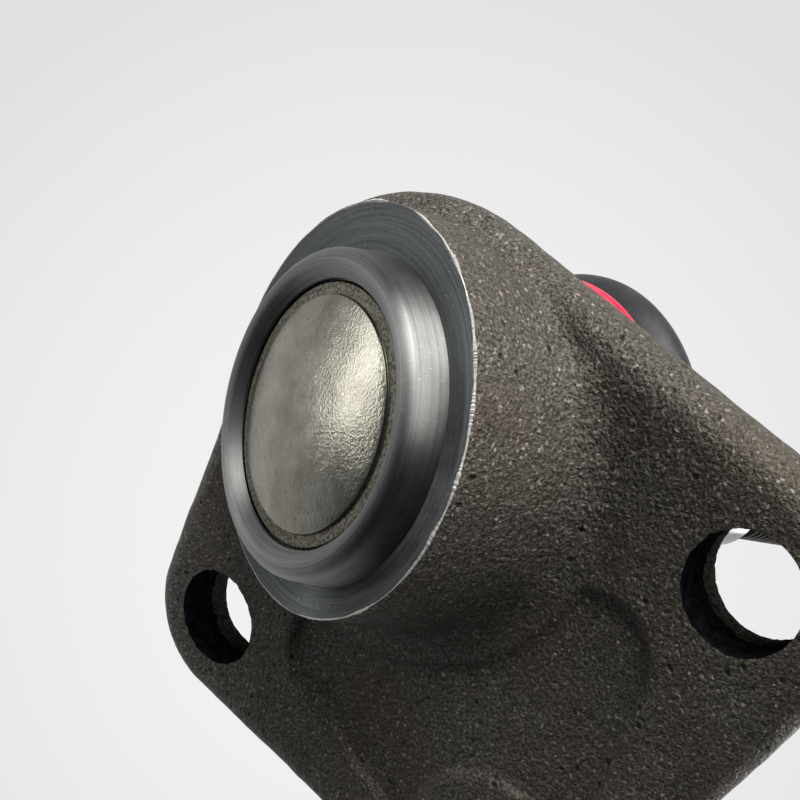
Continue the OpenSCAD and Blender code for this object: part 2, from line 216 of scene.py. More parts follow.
def shot_blasted_iron():
    """Ductile iron, sand cast and shot blasted: dark warm grey, a dull sheen, a tight grain of dimples
    with fresh facets that catch the light, and a faint brown bloom where it has begun to rust."""
    material, tree, output, mm = new_material("shot_blasted_ductile_iron")
    # shot dimples, 0.25 to 0.4 mm across
    dimples = add(tree, "ShaderNodeTexNoise", {
        "Vector": mm, "Scale": 2.9, "Detail": 3, "Roughness": 0.62})
    # sand grain of the mould, 0.7 mm
    sand = add(tree, "ShaderNodeTexNoise", {"Vector": mm, "Scale": 1.4, "Detail": 3, "Roughness": 0.6})
    # patches of scale and rust bloom, about 12 mm
    bloom = add(tree, "ShaderNodeTexNoise", {
        "Vector": mm, "Scale": 0.085, "Detail": 3, "Roughness": 0.6})
    # fresh facets, 0.3 mm, one in fourteen
    facets = add(tree, "ShaderNodeTexVoronoi", {"Vector": mm, "Scale": 3.4, "Randomness": 1})
    facet_pick = add(tree, "ShaderNodeSeparateColor", {"Color": facets.outputs["Color"]})
    bright = add(tree, "ShaderNodeMapRange", {
        "Value": facet_pick.outputs["Red"], "From Min": 0.93, "From Max": 1.0, "To Max": 0.5})
    tone = add(tree, "ShaderNodeMapRange", {
        "Value": dimples.outputs["Fac"], "From Min": 0.4, "From Max": 0.6})
    grey = add(tree, "ShaderNodeMix", {
        "Factor": tone.outputs["Result"], 6: linear("3b3833"), 7: linear("6f6b64")}, data_type="RGBA")
    bloom_share = add(tree, "ShaderNodeMapRange", {
        "Value": bloom.outputs["Fac"], "From Min": 0.42, "From Max": 0.7, "To Max": 0.55})
    browned = add(tree, "ShaderNodeMix", {"Factor": bloom_share.outputs["Result"], 6: grey.outputs[2],
                                          7: linear("554b3f")}, data_type="RGBA")
    sparkle = add(tree, "ShaderNodeMix", {"Factor": bright.outputs["Result"], 6: browned.outputs[2],
                                          7: linear("c6c2ba")}, data_type="RGBA")
    gloss = add(tree, "ShaderNodeMapRange", {
        "Value": facet_pick.outputs["Green"], "To Min": 0.42, "To Max": 0.62})
    sand_bump = add(tree, "ShaderNodeBump", {
        "Height": sand.outputs["Fac"], "Strength": 1, "Distance": 0.36 * MM})
    grain_bump = add(tree, "ShaderNodeBump", {
        "Height": dimples.outputs["Fac"], "Strength": 1, "Distance": 0.26 * MM,
        "Normal": sand_bump.outputs["Normal"]})
    # blow holes where sand grains broke away, 0.7 mm across and some 3 mm apart, painted dark inside as shade
    holes = add(tree, "ShaderNodeTexVoronoi", {"Vector": mm, "Scale": 0.36, "Randomness": 1})
    hole_share = add(tree, "ShaderNodeMapRange", {
        "Value": holes.outputs["Distance"], "From Min": 0.15, "From Max": 0.06})
    holed = add(tree, "ShaderNodeMix", {"Factor": hole_share.outputs["Result"], 6: sparkle.outputs[2],
                                        7: linear("24211d")}, data_type="RGBA")
    bump = add(tree, "ShaderNodeBump", {
        "Height": hole_share.outputs["Result"], "Strength": 1, "Distance": 0.2 * MM,
        "Normal": grain_bump.outputs["Normal"]}, invert=True)
    shader = add(tree, "ShaderNodeBsdfPrincipled", {
        "Base Color": holed.outputs[2], "Metallic": 0.6, "Roughness": gloss.outputs["Result"],
        "Normal": bump.outputs["Normal"]})
    tree.links.new(shader.outputs[0], output.inputs[0])
    return material


def turned_steel(name, dark, light, roughness, line_mm, depth_mm):
    """Steel or iron faced on a lathe: cool grey metal whose fine tool lines run round the axis and
    draw the highlight out into a band."""
    material, tree, output, mm = new_material(name)
    part = add(tree, "ShaderNodeSeparateXYZ", {"Vector": mm})
    flat = add(tree, "ShaderNodeVectorMath", {0: mm, 1: (1, 1, 0)}, operation="MULTIPLY")
    radius = add(tree, "ShaderNodeVectorMath", {0: flat.outputs["Vector"]}, operation="LENGTH")
    # the noise is stretched along the cut, so it makes lines round the axis that fade in and out
    across = add(tree, "ShaderNodeMath", {
        0: radius.outputs["Value"], 1: 1 / line_mm}, operation="MULTIPLY")
    along = add(tree, "ShaderNodeMath", {0: part.outputs["Z"], 1: 1 / line_mm}, operation="MULTIPLY")
    sway = add(tree, "ShaderNodeMath", {0: part.outputs["X"], 1: 0.09}, operation="MULTIPLY")
    line_place = add(tree, "ShaderNodeCombineXYZ", {
        "X": across.outputs[0], "Y": along.outputs[0], "Z": sway.outputs[0]})
    lines = add(tree, "ShaderNodeTexNoise", {
        "Vector": line_place.outputs[0], "Scale": 1, "Detail": 2, "Roughness": 0.6})
    # oil film and handling marks, about 3 mm
    film = add(tree, "ShaderNodeTexNoise", {
        "Vector": mm, "Scale": 0.33, "Detail": 4, "Roughness": 0.65})
    # small nicks, 0.25 mm
    nicks = add(tree, "ShaderNodeTexNoise", {"Vector": mm, "Scale": 3.8, "Detail": 2, "Roughness": 0.5})
    nick_share = add(tree, "ShaderNodeMapRange", {
        "Value": nicks.outputs["Fac"], "From Min": 0.66, "From Max": 0.74, "To Max": 0.5})
    shade = add(tree, "ShaderNodeMath", {
        0: film.outputs["Fac"], 1: 0.4, 2: lines.outputs["Fac"]}, operation="MULTIPLY_ADD")
    share = add(tree, "ShaderNodeMapRange", {
        "Value": shade.outputs[0], "From Min": 0.45, "From Max": 0.95})
    colour = add(tree, "ShaderNodeMix", {
        "Factor": share.outputs["Result"], 6: linear(dark), 7: linear(light)}, data_type="RGBA")
    nicked = add(tree, "ShaderNodeMix", {"Factor": nick_share.outputs["Result"], 6: colour.outputs[2],
                                         7: linear("c9c8c2")}, data_type="RGBA")
    gloss = add(tree, "ShaderNodeMapRange", {
        "Value": film.outputs["Fac"], "From Min": 0.3, "From Max": 0.7, "To Min": roughness - 0.03,
        "To Max": roughness + 0.05})
    bump = add(tree, "ShaderNodeBump", {
        "Height": lines.outputs["Fac"], "Strength": 0.6, "Distance": depth_mm * MM})
    cut_way = add(tree, "ShaderNodeTangent", {}, direction_type="RADIAL", axis="Z")
    shader = add(tree, "ShaderNodeBsdfPrincipled", {
        "Base Color": nicked.outputs[2], "Metallic": 1, "Roughness": gloss.outputs["Result"],
        "Anisotropic": 0.75, "Anisotropic Rotation": 0.25, "Tangent": cut_way.outputs[0],
        "Normal": bump.outputs["Normal"]})
    tree.links.new(shader.outputs[0], output.inputs[0])
    return material


def pressed_steel():
    """Deep-drawn steel sheet, tumbled and oiled: warm silver grey with a fine orange-peel grain and
    small dark pits."""
    material, tree, output, mm = new_material("pressed_steel_sheet")
    # orange peel of the drawn sheet, 0.3 mm
    peel = add(tree, "ShaderNodeTexNoise", {"Vector": mm, "Scale": 3.1, "Detail": 2, "Roughness": 0.55})
    # stains of oil, about 4 mm
    stain = add(tree, "ShaderNodeTexNoise", {
        "Vector": mm, "Scale": 0.24, "Detail": 4, "Roughness": 0.65})
    # pits, 0.3 mm, far apart
    pits = add(tree, "ShaderNodeTexVoronoi", {"Vector": mm, "Scale": 0.8, "Randomness": 1})
    pit_share = add(tree, "ShaderNodeMapRange", {
        "Value": pits.outputs["Distance"], "From Min": 0.14, "From Max": 0.08, "To Max": 0.6})
    share = add(tree, "ShaderNodeMapRange", {
        "Value": stain.outputs["Fac"], "From Min": 0.35, "From Max": 0.65})
    # the rim round the disc lies sunk between the disc and the lip: it is painted darker as shade there, and
    # drawn duller and mottled
    flat = add(tree, "ShaderNodeVectorMath", {0: mm, 1: (1, 1, 0)}, operation="MULTIPLY")
    radius = add(tree, "ShaderNodeVectorMath", {0: flat.outputs["Vector"]}, operation="LENGTH")
    rim = add(tree, "ShaderNodeMapRange", {"Value": radius.outputs["Value"], "From Min": DISC_R + 0.02,
                                           "From Max": DISC_R + 0.08})
    mottle = add(tree, "ShaderNodeMapRange", {
        "Value": peel.outputs["Fac"], "From Min": 0.35, "From Max": 0.65})
    # painted shade of the sunk rim, mottled
    dull = add(tree, "ShaderNodeMix", {
        "Factor": mottle.outputs["Result"], 6: linear("48463e"), 7: linear("8a877b")}, data_type="RGBA")
    bright = add(tree, "ShaderNodeMix", {
        "Factor": share.outputs["Result"], 6: linear("8b887d"), 7: linear("a8a59a")}, data_type="RGBA")
    grey = add(tree, "ShaderNodeMix", {
        "Factor": rim.outputs["Result"], 6: bright.outputs[2], 7: dull.outputs[2]}, data_type="RGBA")
    pitted = add(tree, "ShaderNodeMix", {"Factor": pit_share.outputs["Result"], 6: grey.outputs[2],
                                         7: linear("3c3a35")}, data_type="RGBA")
    gloss = add(tree, "ShaderNodeMapRange", {
        "Value": stain.outputs["Fac"], "From Min": 0.3, "From Max": 0.7, "To Min": 0.21,
        "To Max": 0.26})
    rim_gloss = add(tree, "ShaderNodeMath", {
        0: rim.outputs["Result"], 1: 0.25, 2: gloss.outputs["Result"]}, operation="MULTIPLY_ADD")
    bump = add(tree, "ShaderNodeBump", {
        "Height": peel.outputs["Fac"], "Strength": 0.7, "Distance": 0.045 * MM})
    shader = add(tree, "ShaderNodeBsdfPrincipled", {
        "Base Color": pitted.outputs[2], "Metallic": 1, "Roughness": rim_gloss.outputs[0],
        "Normal": bump.outputs["Normal"]})
    tree.links.new(shader.outputs[0], output.inputs[0])
    return material


def plain_metal(name, dark, light, roughness, patch_mm, bare=1):
    """A drawn, rolled or torn metal surface: one metal colour, clouded in patches of the size given.
    What isn't bare is dull and not metal: the painted shade in the bolt holes, and part of the burr's painted
    highlight."""
    material, tree, output, mm = new_material(name)
    clouds = add(tree, "ShaderNodeTexNoise", {
        "Vector": mm, "Scale": 1 / patch_mm, "Detail": 3, "Roughness": 0.6})
    share = add(tree, "ShaderNodeMapRange", {
        "Value": clouds.outputs["Fac"], "From Min": 0.35, "From Max": 0.65})
    colour = add(tree, "ShaderNodeMix", {
        "Factor": share.outputs["Result"], 6: linear(dark), 7: linear(light)}, data_type="RGBA")
    bump = add(tree, "ShaderNodeBump", {"Height": clouds.outputs["Fac"], "Strength": 0.5,
                                        "Distance": 0.06 * patch_mm * MM})
    shader = add(tree, "ShaderNodeBsdfPrincipled", {
        "Base Color": colour.outputs[2], "Metallic": bare, "Roughness": roughness,
        "Specular IOR Level": 0.5 * bare, "Normal": bump.outputs["Normal"]})
    tree.links.new(shader.outputs[0], output.inputs[0])
    return material


def moulded_rubber():
    """Chloroprene rubber, compression moulded: near black with a cool cast, a soft wide sheen,
    a fine mould grain and a trace of dust."""
    material, tree, output, mm = new_material("moulded_chloroprene_rubber")
    # grain of the blasted mould, 0.25 mm
    grain = add(tree, "ShaderNodeTexNoise", {"Vector": mm, "Scale": 3.6, "Detail": 2, "Roughness": 0.5})
    # dust, about 3 mm
    dust = add(tree, "ShaderNodeTexNoise", {"Vector": mm, "Scale": 0.35, "Detail": 4, "Roughness": 0.7})
    dust_share = add(tree, "ShaderNodeMapRange", {
        "Value": dust.outputs["Fac"], "From Min": 0.45, "From Max": 0.75, "To Max": 0.35})
    colour = add(tree, "ShaderNodeMix", {"Factor": dust_share.outputs["Result"], 6: linear("1d2024"),
                                         7: linear("4b4d4d")}, data_type="RGBA")
    bump = add(tree, "ShaderNodeBump", {
        "Height": grain.outputs["Fac"], "Strength": 0.5, "Distance": 0.05 * MM})
    shader = add(tree, "ShaderNodeBsdfPrincipled", {
        "Base Color": colour.outputs[2], "Roughness": 0.5, "IOR": 1.52,
        "Normal": bump.outputs["Normal"]})
    tree.links.new(shader.outputs[0], output.inputs[0])
    return material


def coated_wire():
    """Spring wire in a red polyamide coat: a saturated crimson with a smooth plastic shine."""
    material, tree, output, mm = new_material("red_polyamide_coated_wire")
    # slight waviness of the dipped coat, 1.5 mm
    wave = add(tree, "ShaderNodeTexNoise", {"Vector": mm, "Scale": 0.7, "Detail": 2, "Roughness": 0.5})
    colour = add(tree, "ShaderNodeMix", {
        "Factor": wave.outputs["Fac"], 6: linear("dc1440"), 7: linear("ff3a5e")}, data_type="RGBA")
    bump = add(tree, "ShaderNodeBump", {
        "Height": wave.outputs["Fac"], "Strength": 0.3, "Distance": 0.03 * MM})
    shader = add(tree, "ShaderNodeBsdfPrincipled", {
        "Base Color": colour.outputs[2], "Roughness": 0.3, "IOR": 1.53,
        "Normal": bump.outputs["Normal"]})
    tree.links.new(shader.outputs[0], output.inputs[0])
    return material


def moulded_acetal():
    """Acetal resin, injection moulded: milky off-white, waxy, with light scattered below its skin."""
    material, tree, output, mm = new_material("moulded_acetal_resin")
    # flow marks, about 5 mm
    flow = add(tree, "ShaderNodeTexNoise", {"Vector": mm, "Scale": 0.2, "Detail": 3, "Roughness": 0.5})
    colour = add(tree, "ShaderNodeMix", {
        "Factor": flow.outputs["Fac"], 6: linear("d9d4c4"), 7: linear("efece2")}, data_type="RGBA")
    shader = add(tree, "ShaderNodeBsdfPrincipled", {
        "Base Color": colour.outputs[2], "Roughness": 0.34, "IOR": 1.48, "Subsurface Weight": 0.25,
        "Subsurface Scale": 0.6 * MM})
    tree.links.new(shader.outputs[0], output.inputs[0])
    return material


cast_iron = shot_blasted_iron()
faced_iron = turned_steel("faced_ductile_iron", "505457", "7d807f", 0.5, 0.16, 0.012)
rolled_iron = turned_steel("turned_and_rolled_ductile_iron", "75787a", "999b98", 0.5, 0.2, 0.006)
# the walls of the bolt holes, drilled and torn, are painted near black as the shade deep in the holes
shaded_drilled_iron = plain_metal("drilled_ductile_iron_painted_shade", "050507", "141418", 0.85, 1.2, bare=0)
shaded_torn_iron = plain_metal("torn_ductile_iron_painted_shade", "161513", "3c3a35", 0.8, 0.35, bare=0)
# fresh cut iron is bright in itself; the burr is also painted near white with a dull part, as a painted
# highlight
burr_iron_painted_highlight = plain_metal("fresh_cut_iron_painted_highlight", "d8d5ce", "faf8f4", 0.4, 0.3, bare=0.4)
cap_steel = pressed_steel()
stud_steel = turned_steel("ground_alloy_steel", "7d7f80", "b4b5b3", 0.24, 0.12, 0.008)
thread_steel = turned_steel("rolled_thread_steel", "5b5d5e", "8f908d", 0.34, 0.3, 0.01)
spring_steel = plain_metal("tempered_spring_steel", "3a3c42", "6a6d74", 0.3, 2.0)
drawn_wire = plain_metal("zinc_plated_wire", "96999a", "c3c5c2", 0.3, 1.0)
boot_rubber = moulded_rubber()
ring_coat = coated_wire()
acetal = moulded_acetal()


# Mesh building

def put(name, mesh, materials, body, flat_finish=None):
    """Makes a piece from a mesh, sets its shading by angle, and lets it ride on its body. A faced plane
    stays flat."""
    for material in materials:
        if material.name not in mesh.materials:
            mesh.materials.append(material)
    work = bmesh.new()
    work.from_mesh(mesh)
    for face in work.faces:
        face.smooth = face.material_index != flat_finish
    for edge in work.edges:
        if len(edge.link_faces) == 2:
            a, b = edge.link_faces
            edge.smooth = a.material_index == b.material_index and edge.calc_face_angle(0) < CREASE
    work.to_mesh(mesh)
    work.free()
    piece = bpy.data.objects.new(name, mesh)
    scene.collection.objects.link(piece)
    if body:
        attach(piece, body)
    return piece


def mesh_of(name, points, faces):
    """A closed mesh from points in millimetres, its faces turned outwards."""
    mesh = bpy.data.meshes.new(name)
    mesh.from_pydata([Vector(p) * MM for p in points], [], faces)
    work = bmesh.new()
    work.from_mesh(mesh)
    bmesh.ops.recalc_face_normals(work, faces=work.faces)
    work.to_mesh(mesh)
    work.free()
    return mesh


def rounded(corners, closed=True, step=math.radians(9)):
    """A profile from corners (r, z) or (r, z, radius), with an arc at each corner that has a radius."""
    out = []
    for i, corner in enumerate(corners):
        here = Vector(corner[:2])
        if len(corner) < 3 or (not closed and i in (0, len(corners) - 1)):
            out.append(here)
            continue
        back = (Vector(corners[i - 1][:2]) - here).normalized()
        on = (Vector(corners[(i + 1) % len(corners)][:2]) - here).normalized()
        half = math.acos(max(-1, min(1, back.dot(on)))) / 2
        centre = here + (back + on).normalized() * corner[2] / math.sin(half)
        reach = corner[2] / math.tan(half)
        first, last = here + back * reach - centre, here + on * reach - centre
        sweep = math.pi - 2 * half
        count = max(2, math.ceil(sweep / step))
        for k in range(count + 1):
            t = k / count
            mixed = first * math.sin((1 - t) * sweep) + last * math.sin(t * sweep)
            out.append(centre + mixed / math.sin(sweep))
    return out


def arc(centre, radius, first, last, step=math.radians(5)):
    """Points on an arc in the (r, z) plane, from one angle to another in radians."""
    count = max(2, math.ceil(abs(last - first) / step))
    angles = [first + (last - first) * k / count for k in range(count + 1)]
    return [Vector((centre[0] + radius * math.cos(a), centre[1] + radius * math.sin(a))) for a in angles]


def revolved(name, profile, steps=192):
    """A mesh turned round the stud's axis: the profile is closed, or runs from the axis to the axis."""
    to_axis = profile[0][0] == 0
    points, rings, faces = [], [], []
    for r, z in profile:
        rings.append(len(points))
        if r == 0:
            points.append((0, 0, z))
        else:
            points += [(r * math.cos(2 * math.pi * k / steps), r * math.sin(2 * math.pi * k / steps), z)
                       for k in range(steps)]
    count = len(profile)
    for i in range(count - 1 if to_axis else count):
        a, b = rings[i], rings[(i + 1) % count]
        for k in range(steps):
            k1 = (k + 1) % steps
            low = [a] if profile[i][0] == 0 else [a + k, a + k1]
            high = [b] if profile[(i + 1) % count][0] == 0 else [b + k1, b + k]
            faces.append(low + high)
    return mesh_of(name, points, faces)


def coil(name, radius, middle_z, pitch, turns, wire, start, sides=20):
    """A wire wound round the stud's axis, its ends cut square with a small round."""
    steps = int(turns * 150)
    points, faces = [], []
    for i in range(steps + 1):
        angle = start + 2 * math.pi * turns * i / steps
        z = middle_z + pitch * turns * (i / steps - 0.5)
        thick = wire / 2 * (0.8 if i in (0, steps) else 1)
        for k in range(sides):
            b = 2 * math.pi * k / sides
            r = radius + thick * math.cos(b)
            points.append((r * math.cos(angle), r * math.sin(angle), z + thick * math.sin(b)))
    for i in range(steps):
        for k in range(sides):
            k1 = (k + 1) % sides
            faces.append([i * sides + k, i * sides + k1, (i + 1) * sides + k1, (i + 1) * sides + k])
    faces.append(list(range(sides)))
    faces.append([steps * sides + k for k in range(sides)])
    return mesh_of(name, points, faces)


def use_modifier(target, kind, **settings):
    """Puts a modifier on an object and applies it at once."""
    modifier = target.modifiers.new(kind.lower(), kind)
    for name, value in settings.items():
        setattr(modifier, name, value)
    graph = bpy.context.evaluated_depsgraph_get()
    mesh = bpy.data.meshes.new_from_object(target.evaluated_get(graph), depsgraph=graph)
    target.modifiers.clear()
    target.data = mesh
    return target


def blank(name, mesh):
    """An object for mesh work that isn't kept in the scene afterwards."""
    made = bpy.data.objects.new(name, mesh)
    scene.collection.objects.link(made)
    return made


def cut(target, cutter):
    """Cuts the cutter's volume out of the target, and drops the cutter."""
    use_modifier(target, "BOOLEAN", operation="DIFFERENCE", object=cutter, solver="EXACT")
    bpy.data.objects.remove(cutter)


# Cast housing

flange_place = (Matrix.Translation((0, 0, -FLANGE_DROP)) @ Matrix.Rotation(FLANGE_TURN, 4, "Z")
                @ Matrix.Rotation(FLANGE_LEAN, 4, "Y") @ Matrix.Rotation(-FLANGE_TURN, 4, "Z"))
in_flange = flange_place.inverted()


def flange_outline(inset, count=720):
    """Outline of the three lobes and the web, drawn in by inset, as points in the flange's own plane."""
    rounds = [(Vector(p), LOBE_R - inset) for p in BOLT_HOLES] + [(Vector(WEB_AT), WEB_R - inset)]
    outline = []
    for k in range(count):
        n = Vector((math.cos(2 * math.pi * k / count), math.sin(2 * math.pi * k / count)))
        centre, r = max(rounds, key=lambda c: c[0].dot(n) + c[1])
        outline.append(centre + n * r)
    return outline


def stack(name, loops):
    """A closed mesh from loops of the same count, each a list of points, in millimetres."""
    count = len(loops[0])
    points = [p for loop in loops for p in loop]
    faces = [[i * count + k, i * count + (k + 1) % count,
              (i + 1) * count + (k + 1) % count, (i + 1) * count + k]
             for i in range(len(loops) - 1) for k in range(count)]
    faces.append(list(range(count)))
    faces.append([(len(loops) - 1) * count + k for k in range(count)])
    return mesh_of(name, points, faces)


def flange_back():
    """The stud side of the flange without its holes, with the cast round on its edge."""
    levels = [(FLANGE_BACK_FROM, 0), (FLANGE_T - FLANGE_ROUND, 0)]
    levels += [(FLANGE_T - FLANGE_ROUND + FLANGE_ROUND * math.sin(a), FLANGE_ROUND * (1 - math.cos(a)))
               for a in [math.radians(11.25 * k) for k in range(1, 9)]]
    return stack("flange_back", [
        [flange_place @ Vector((p.x, p.y, z)) for p in flange_outline(inset + SKIN_LAP)]
        for z, inset in levels])


def hole_plug(hole):
    """Fills a bolt hole's mouth on the cap side, so that the drill cuts its edge afresh."""
    angles = [math.radians(5 * k) for k in range(72)]
    ring = [(hole[0] + HOLE_PLUG_R * math.cos(a), hole[1] + HOLE_PLUG_R * math.sin(a)) for a in angles]
    return stack("hole_plug", [[flange_place @ Vector((x, y, z)) for x, y in ring] for z in (0, HOLE_PLUG_H)])


def boss_skin():
    """A ring that carries the boss on past the shoulder, so that the facing cut leaves a keen edge."""
    at = Vector((BOSS_AT.x, BOSS_AT.y, 0))
    count = 144
    angles = [math.radians(360 / count * k) for k in range(count)]
    loops = []
    for z, inner_r in ((BOSS_SKIN_TOP_Z, None), (BOSS_SKIN_LOW_Z, None),
                       (BOSS_SKIN_LOW_Z, BOSS_SKIN_IN_R), (BOSS_SKIN_TOP_Z, BOSS_SKIN_IN_R)):
        r = inner_r or BOSS_R + (z - SHOULDER_Z) * BOSS_DRAFT - SKIN_LAP
        loops.append([at + Vector((r * math.cos(a), r * math.sin(a), z)) for a in angles])
    points = [p for loop in loops for p in loop]
    faces = [[i * count + k, i * count + (k + 1) % count, (i + 1) % 4 * count + (k + 1) % count,
              (i + 1) % 4 * count + k] for i in range(4) for k in range(count)]
    return mesh_of("boss_skin", points, faces)


def swell(target):
    """The uneven skin of a sand casting: swells of 7, 3 and 1.9 mm, a few hundredths to a tenth high."""
    work = bmesh.new()
    work.from_mesh(target.data)
    work.normal_update()
    moves = []
    for vertex in work.verts:
        p = vertex.co / MM
        if math.hypot(p.x, p.y) < SWELL_FROM_R:
            continue
        height = (0.10 * noise.noise(p / 7) + 0.075 * noise.noise(p / 3 + Vector((9, 4, 1)))
                  + 0.05 * noise.noise(p / 1.9 + Vector((3, 7, 5))))
        moves.append((vertex, vertex.normal * height * MM))
    for vertex, move in moves:
        vertex.co += move
    work.to_mesh(target.data)
    work.free()


def bolt_hole_cutter(hole, seed):
    """A drill's path through the flange: clean for the first part, then the iron tears away a little
    wider."""
    levels = [-4, -0.12, 0.12] + [3.6 + 0.14 * k for k in range(22)] + [7.2, 7.9, 8.3, 12]
    loops = []
    for z in levels:
        loop = []
        for k in range(160):
            a = 2 * math.pi * k / 160
            way = Vector((math.cos(a), math.sin(a), 0))
            edge = (CLEAN_DRILLED + 0.9 * noise.noise(way * 1.6 + Vector((seed, 0, 0)))
                    + 0.35 * noise.noise(way * 9))
            torn = max(0, min(1, (z - edge) / 0.3))
            rough = 0.14 + 0.12 * noise.noise(Vector((way.x * 14, way.y * 14, z * 1.4 + seed)))
            chip = max(0, noise.noise(way * 7 + Vector((seed, 5, 0)))) * 0.5 if z in (-4, -0.12) else 0
            loop.append(Vector((hole[0], hole[1], z)) + way * (BOLT_HOLE_R + torn * rough + chip))
        loops.append([flange_place @ p for p in loop])
    return stack("bolt_hole_cutter", loops)


def cast_housing():
    """The solid of the housing made whole, given its uneven skin, then faced and drilled."""
    raw = blank("raw_casting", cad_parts["housing"].data.copy())
    raw.data.materials.clear()
    fill = bmesh.new()
    fill.from_mesh(raw.data)
    for mesh in [flange_back(), boss_skin()] + [hole_plug(hole) for hole in BOLT_HOLES]:
        fill.from_mesh(mesh)
    fill.to_mesh(raw.data)
    fill.free()
    use_modifier(raw, "REMESH", mode="VOXEL", voxel_size=0.5 * MM, adaptivity=0)
    use_modifier(raw, "SMOOTH", factor=0.5, iterations=9)
    swell(raw)
    # facing cut for the shoulder, and the spot face round the neck
    facing = [(0, CUTTER_LOW_Z), (CUTTER_R, CUTTER_LOW_Z), (CUTTER_R, SHOULDER_Z), (0, SHOULDER_Z)]
    cut(raw, blank("facing_cutter", revolved("facing_cutter", facing, 96)))
    spot = [(0, SPOT_Z), (SPOT_R, SPOT_Z), (SPOT_R, CUTTER_HIGH_Z), (0, CUTTER_HIGH_Z)]
    cut(raw, blank("spot_cutter", revolved("spot_cutter", spot, 240)))
    for seed, hole in enumerate(BOLT_HOLES):
        cut(raw, blank("hole_cutter", bolt_hole_cutter(hole, 3.7 * seed)))
    return raw


def finish_housing(raw):
    """Gives each face of the casting its finish by where it lies: cast, faced, drilled or torn."""
    mesh = raw.data
    for material in (cast_iron, faced_iron, shaded_drilled_iron, shaded_torn_iron):
        mesh.materials.append(material)
    for polygon in mesh.polygons:
        centre = polygon.center / MM
        local = in_flange @ centre
        polygon.material_index = CAST
        on_shoulder = abs(centre.z - SHOULDER_Z) < FACE_TOLERANCE
        on_spot = abs(centre.z - SPOT_Z) < FACE_TOLERANCE and math.hypot(*centre.xy) < SPOT_R
        if on_shoulder or on_spot:
            polygon.material_index = FACED
            continue
        normal = in_flange.to_3x3() @ polygon.normal
        for hole in BOLT_HOLES:
            way = Vector((local.x - hole[0], local.y - hole[1]))
            if way.length < BOLT_HOLE_R + HOLE_REACH and abs(way.normalized().dot(normal.xy)) > 0.5:
                torn = way.length > TORN_FROM_R and local.z > TORN_FROM_Z
                polygon.material_index = TORN if torn else DRILLED
    bpy.data.objects.remove(raw)
    return mesh


def burr_of(mesh):
    """The thin bright burr that the facing tool turned up along the shoulder's outer edge."""
    keen = []
    work = bmesh.new()
    work.from_mesh(mesh)
    for edge in work.edges:
        if len(edge.link_faces) == 2 and {CAST, FACED} == {f.material_index for f in edge.link_faces}:
            middle = (edge.verts[0].co + edge.verts[1].co) / 2 / MM
            if abs(middle.z - SHOULDER_Z) < 0.05:
                way = middle.xy - BOSS_AT
                if way.length > BURR_FROM_R:
                    keen.append((math.atan2(way.y, way.x), way.length))
    work.free()
    keen.sort()
    draw = random.Random(11)
    count, at = 1100, 0
    loops = []
    for k in range(count):
        a = -math.pi + 2 * math.pi * k / count
        while at < len(keen) - 1 and keen[at][0] < a:
            at += 1
        r = keen[at][1]
        tear = max(0, 0.35 + 0.9 * noise.noise(Vector((math.cos(a) * 5, math.sin(a) * 5, 2))))
        nick = 0.5 + 0.5 * draw.random()
        # the burr is drawn larger on the side that faces the lamps, where its painted highlight shows
        side = (0.5 + 0.5 * math.cos(a + 0.1)) ** 1.5
        wide = 0.03 + 0.9 * side * tear * nick
        high = 0.03 + 0.6 * side * tear * nick
        way = Vector((math.cos(a), math.sin(a), 0))
        base = Vector((BOSS_AT.x, BOSS_AT.y, SHOULDER_Z)) + way * r
        loops.append([base - way * wide + Vector((0, 0, 0.02)), base + way * 0.05 - Vector((0, 0, high)),
                      base + way * wide - Vector((0, 0, high * 0.3)),
                      base + way * 0.02 + Vector((0, 0, 0.15))])
    points = [p for loop in loops for p in loop]
    faces = [[k * 4 + i, k * 4 + (i + 1) % 4, (k + 1) % count * 4 + (i + 1) % 4, (k + 1) % count * 4 + i]
             for k in range(count) for i in range(4)]
    return mesh_of("shoulder_burr", points, faces)


housing_mesh = finish_housing(cast_housing())
burr_mesh = burr_of(housing_mesh)
housing_casting = put("housing_casting", housing_mesh, [], "housing_body", flat_finish=FACED)
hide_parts("housing")
put("shoulder_burr", burr_mesh, [burr_iron_painted_highlight], "housing_body")

# Rolled lip: its inside holds the end cap, its crest is spun over the cap's edge
seat_r, seat_z = CAP_R + 0.1, RIM_FACE_Z - 0.03
lip_profile = rounded([
    (BORE_R, LIP_FOOT_Z), (BORE_R, CAP_INNER_Z), (seat_r, CAP_INNER_Z), (seat_r, seat_z),
    (LIP_INNER_R, seat_z), (LIP_INNER_R + 0.03, RIM_FACE_Z - 0.35)], closed=False)
lip_profile += arc((LIP_CREST_R, LIP_CREST_Z), LIP_ROUND, math.radians(-128), -LIP_LEAN)
lip_profile += [Vector((LIP_R, LIP_FOOT_Z))]
put("housing_lip", revolved("housing_lip", lip_profile, 288), [rolled_iron], "housing_body")


def mouth_r(z):
    """Radius of the mouth's cone at a height."""
    return MOUTH_R_AT_BALL + MOUTH_SLOPE * z


# Neck on the stud side: seat of the boot, groove and rim, with the cone of the mouth inside
neck_foot_z = 9.6
neck_profile = rounded([
    (mouth_r(neck_foot_z), neck_foot_z), (NECK_R, neck_foot_z), (NECK_R, SPOT_Z - 0.1, 0.2),
    (NECK_R - 1, GROOVE_LOW_Z, 0.2), (GROOVE_R, GROOVE_LOW_Z, 0.25), (GROOVE_R, GROOVE_TOP_Z, 0.25),
    (RIM_R, GROOVE_TOP_Z, 0.15), (RIM_R, NECK_Z, 0.5), (mouth_r(NECK_Z), NECK_Z, 0.3)])
put("housing_neck", revolved("housing_neck", neck_profile), [faced_iron], "housing_body")

